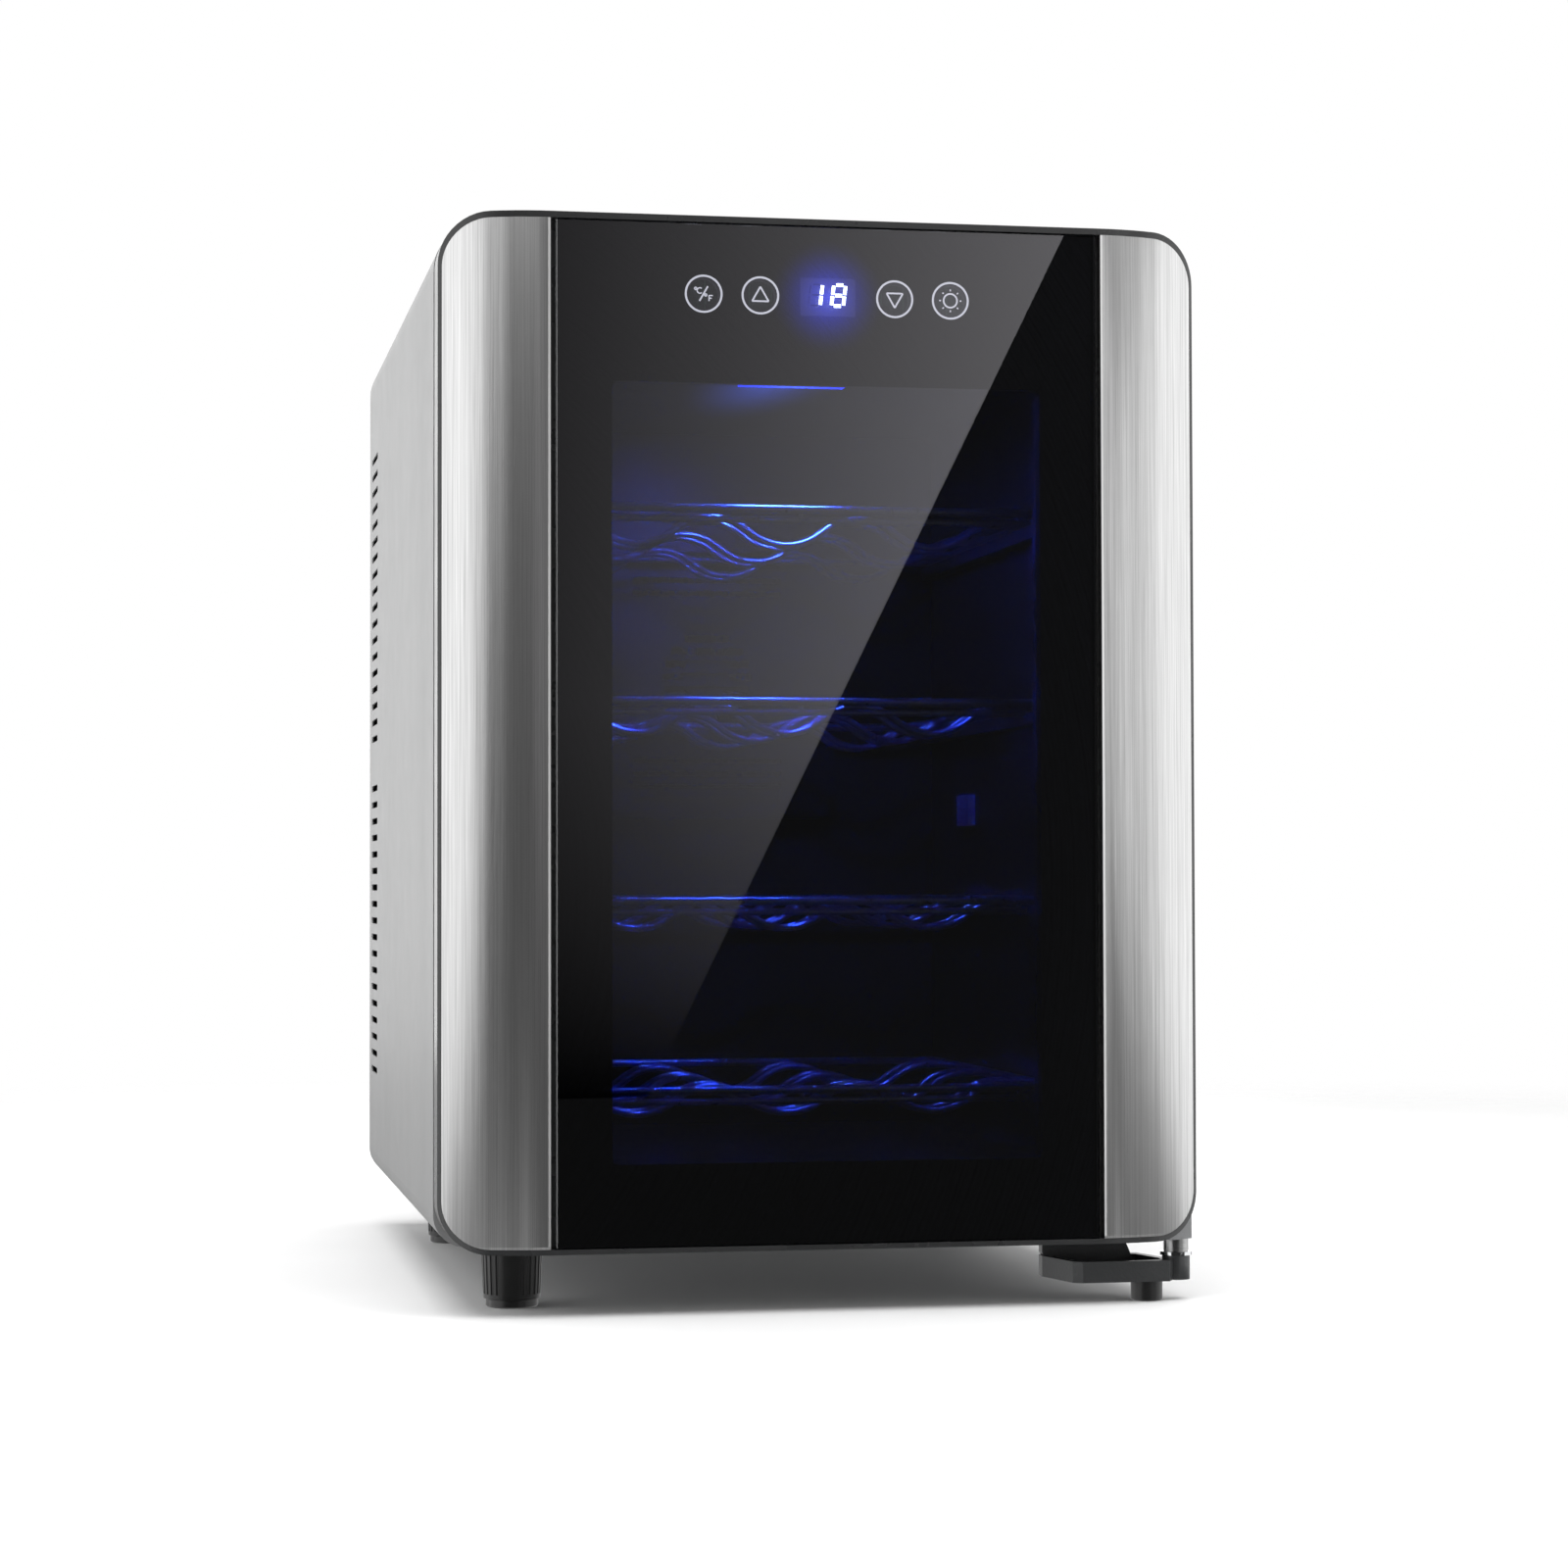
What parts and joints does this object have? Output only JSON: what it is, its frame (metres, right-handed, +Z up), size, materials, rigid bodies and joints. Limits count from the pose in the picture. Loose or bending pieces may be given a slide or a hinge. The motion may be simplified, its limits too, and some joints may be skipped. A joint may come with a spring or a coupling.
{
  "type": "wine cooler",
  "caption": "Free-standing thermoelectric wine cooler: silver cabinet, black glass door with bowed stainless sides, wire shelves, touch controls, levelling feet.",
  "frame": {"origin": "on the floor under the middle of the cooler's overall width and depth", "axes": "+X to the right seen from the front, +Y to the back, +Z up"},
  "size_m": [0.345, 0.5, 0.484],
  "materials": {
    "silver_paint": "satin",
    "floor_steel": "satin",
    "frame_plastic": "matte",
    "liner_plastic": "satin",
    "foam": "matte",
    "bulkhead_steel": "satin",
    "rear_paint": "matte",
    "black_plastic": "matte",
    "brass_insert": "satin",
    "lamp_white": "gloss",
    "lamp_diffuser": "matte",
    "board_green": "satin",
    "sink_aluminium": "satin",
    "module_ceramic": "matte",
    "fan_plastic": "satin",
    "inlet_plastic": "satin",
    "hinge_paint": "satin",
    "pin_steel": "satin",
    "washer_chrome": "polished",
    "screw_steel": "satin",
    "panel_steel": "satin",
    "clear_glass": "gloss",
    "black_print": "gloss",
    "spacer_aluminium": "satin",
    "seal_rubber": "matte",
    "magnet_strip": "matte",
    "display_glow": "gloss",
    "touch_glow": "gloss",
    "shelf_chrome": "polished",
    "foot_plastic": "satin",
    "hinge_block_metal": "satin"
  },
  "bodies": {
    "cabinet": {"cabinet_wrap": "silver_paint", "base_plate": "floor_steel", "front_frame": "frame_plastic", "inner_liner": "liner_plastic", "insulation_foam": "foam", "rear_bulkhead": "bulkhead_steel", "rear_cover": "rear_paint", "wall_spacers": "black_plastic", "foot_inserts": "brass_insert", "lamp_housing": "lamp_white", "lamp_board": "board_green", "lamp_lens": "lamp_diffuser", "temperature_sensor": "lamp_white", "cold_sink": "sink_aluminium", "cold_block": "sink_aluminium", "peltier_module": "module_ceramic", "hot_sink": "sink_aluminium", "inner_fan_cover": "liner_plastic", "inner_fan_frame": "fan_plastic", "outer_fan_frame": "fan_plastic", "power_cover": "bulkhead_steel", "power_board": "board_green", "power_inlet": "inlet_plastic", "lower_hinge_bracket": "hinge_paint", "lower_hinge_pin": "pin_steel", "hinge_washer": "washer_chrome", "hinge_foot": "foot_plastic", "upper_hinge_bracket": "pin_steel", "base_screws": "screw_steel", "rear_cover_screws": "screw_steel", "lower_hinge_screws": "screw_steel", "upper_hinge_screws": "screw_steel"},
    "door": {"door_frame": "frame_plastic", "door_trim_left": "panel_steel", "door_trim_right": "panel_steel", "front_glass": "clear_glass", "glass_print": "black_print", "glass_spacer": "spacer_aluminium", "inner_glass": "clear_glass", "door_inner_frame": "frame_plastic", "door_gasket": "seal_rubber", "gasket_magnet": "magnet_strip", "control_board": "board_green", "display_module": "display_glow", "touch_rings": "touch_glow", "lower_hinge_block": "hinge_block_metal", "lower_hinge_bushing": "pin_steel", "upper_hinge_bushing": "brass_insert"},
    "shelf_1_body": {"shelf_1": "shelf_chrome"},
    "shelf_2_body": {"shelf_2": "shelf_chrome"},
    "shelf_3_body": {"shelf_3": "shelf_chrome"},
    "shelf_4_body": {"shelf_4": "shelf_chrome"},
    "inner_fan": {"inner_fan_rotor": "fan_plastic"},
    "outer_fan": {"outer_fan_rotor": "fan_plastic"},
    "foot_pad_front_left_body": {"foot_pad_front_left": "foot_plastic"},
    "foot_knob_front_left_body": {"foot_knob_front_left": "foot_plastic"},
    "foot_pad_rear_left_body": {"foot_pad_rear_left": "foot_plastic"},
    "foot_knob_rear_left_body": {"foot_knob_rear_left": "foot_plastic"},
    "foot_pad_rear_right_body": {"foot_pad_rear_right": "foot_plastic"},
    "foot_knob_rear_right_body": {"foot_knob_rear_right": "foot_plastic"}
  },
  "joints": [
    {"name": "door_hinge", "type": "hinge", "parent": "cabinet", "child": "door", "pos_m": [0.1635, -0.23, 0.25], "axis": [0, 0, 1], "range_deg": [0, 110]},
    {"name": "shelf_1_slide", "type": "slide", "parent": "cabinet", "child": "shelf_1_body", "axis": [0, -1, 0], "range_m": [0, 0.025]},
    {"name": "shelf_2_slide", "type": "slide", "parent": "cabinet", "child": "shelf_2_body", "axis": [0, -1, 0], "range_m": [0, 0.025]},
    {"name": "shelf_3_slide", "type": "slide", "parent": "cabinet", "child": "shelf_3_body", "axis": [0, -1, 0], "range_m": [0, 0.025]},
    {"name": "shelf_4_slide", "type": "slide", "parent": "cabinet", "child": "shelf_4_body", "axis": [0, -1, 0], "range_m": [0, 0.025]},
    {"name": "inner_fan_spin", "type": "hinge", "parent": "cabinet", "child": "inner_fan", "pos_m": [0, 0.095, 0.3], "axis": [0, 1, 0], "continuous": true},
    {"name": "outer_fan_spin", "type": "hinge", "parent": "cabinet", "child": "outer_fan", "pos_m": [0, 0.195, 0.3], "axis": [0, 1, 0], "continuous": true},
    {"name": "foot_front_left_height", "type": "slide", "parent": "cabinet", "child": "foot_pad_front_left_body", "axis": [0, 0, -1], "range_m": [0, 0.006]},
    {"name": "foot_front_left_turn", "type": "hinge", "parent": "foot_pad_front_left_body", "child": "foot_knob_front_left_body", "pos_m": [-0.136, -0.198, 0.02], "axis": [0, 0, -1], "range_deg": [0, 1728.5]},
    {"name": "foot_rear_left_height", "type": "slide", "parent": "cabinet", "child": "foot_pad_rear_left_body", "axis": [0, 0, -1], "range_m": [0, 0.006]},
    {"name": "foot_rear_left_turn", "type": "hinge", "parent": "foot_pad_rear_left_body", "child": "foot_knob_rear_left_body", "pos_m": [-0.136, 0.095, 0.02], "axis": [0, 0, -1], "range_deg": [0, 1728.5]},
    {"name": "foot_rear_right_height", "type": "slide", "parent": "cabinet", "child": "foot_pad_rear_right_body", "axis": [0, 0, -1], "range_m": [0, 0.006]},
    {"name": "foot_rear_right_turn", "type": "hinge", "parent": "foot_pad_rear_right_body", "child": "foot_knob_rear_right_body", "pos_m": [0.136, 0.095, 0.02], "axis": [0, 0, -1], "range_deg": [0, 1728.5]}
  ],
  "couplings": [
    {"joint": "foot_front_left_turn", "follows": "foot_front_left_height", "rad_per_m": 5026.5},
    {"joint": "foot_rear_left_turn", "follows": "foot_rear_left_height", "rad_per_m": 5026.5},
    {"joint": "foot_rear_right_turn", "follows": "foot_rear_right_height", "rad_per_m": 5026.5}
  ]
}
